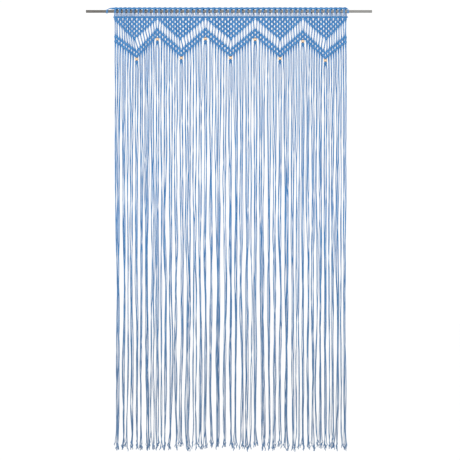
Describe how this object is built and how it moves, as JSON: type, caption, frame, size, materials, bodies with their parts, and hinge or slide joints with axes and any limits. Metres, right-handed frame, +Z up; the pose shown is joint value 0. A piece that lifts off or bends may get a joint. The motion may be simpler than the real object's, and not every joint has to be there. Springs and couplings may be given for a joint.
{
  "type": "macrame curtain on a rod",
  "caption": "Blue cotton macrame curtain with knotted triangles, a zigzag band, wooden beads and a full-length string fringe, hung on a thin metal rod.",
  "frame": {"origin": "on the rod's axis at its mid-length", "axes": "+X along the rod to the right as seen from the front, +Z up, -Y towards the viewer"},
  "size_m": [1.546, 0.0268, 2.3869],
  "materials": {
    "cotton_cord": "matt twisted cotton cord, dyed blue",
    "bead_wood": "turned, unvarnished light wood",
    "rod_metal": "brushed, slightly dull"
  },
  "bodies": {
    "root": {"rod": "rod_metal", "heading": "cotton_cord", "net_1": "cotton_cord", "net_2": "cotton_cord", "net_3": "cotton_cord", "net_4": "cotton_cord", "net_5": "cotton_cord", "zigzag_band": "cotton_cord", "fringe_1": "cotton_cord", "fringe_2": "cotton_cord", "fringe_3": "cotton_cord", "fringe_4": "cotton_cord", "fringe_5": "cotton_cord", "bead_1": "bead_wood", "bead_2": "bead_wood", "bead_3": "bead_wood", "bead_4": "bead_wood", "bead_5": "bead_wood", "bead_6": "bead_wood", "bead_7": "bead_wood", "bead_8": "bead_wood", "bead_9": "bead_wood"}
  },
  "joints": []
}
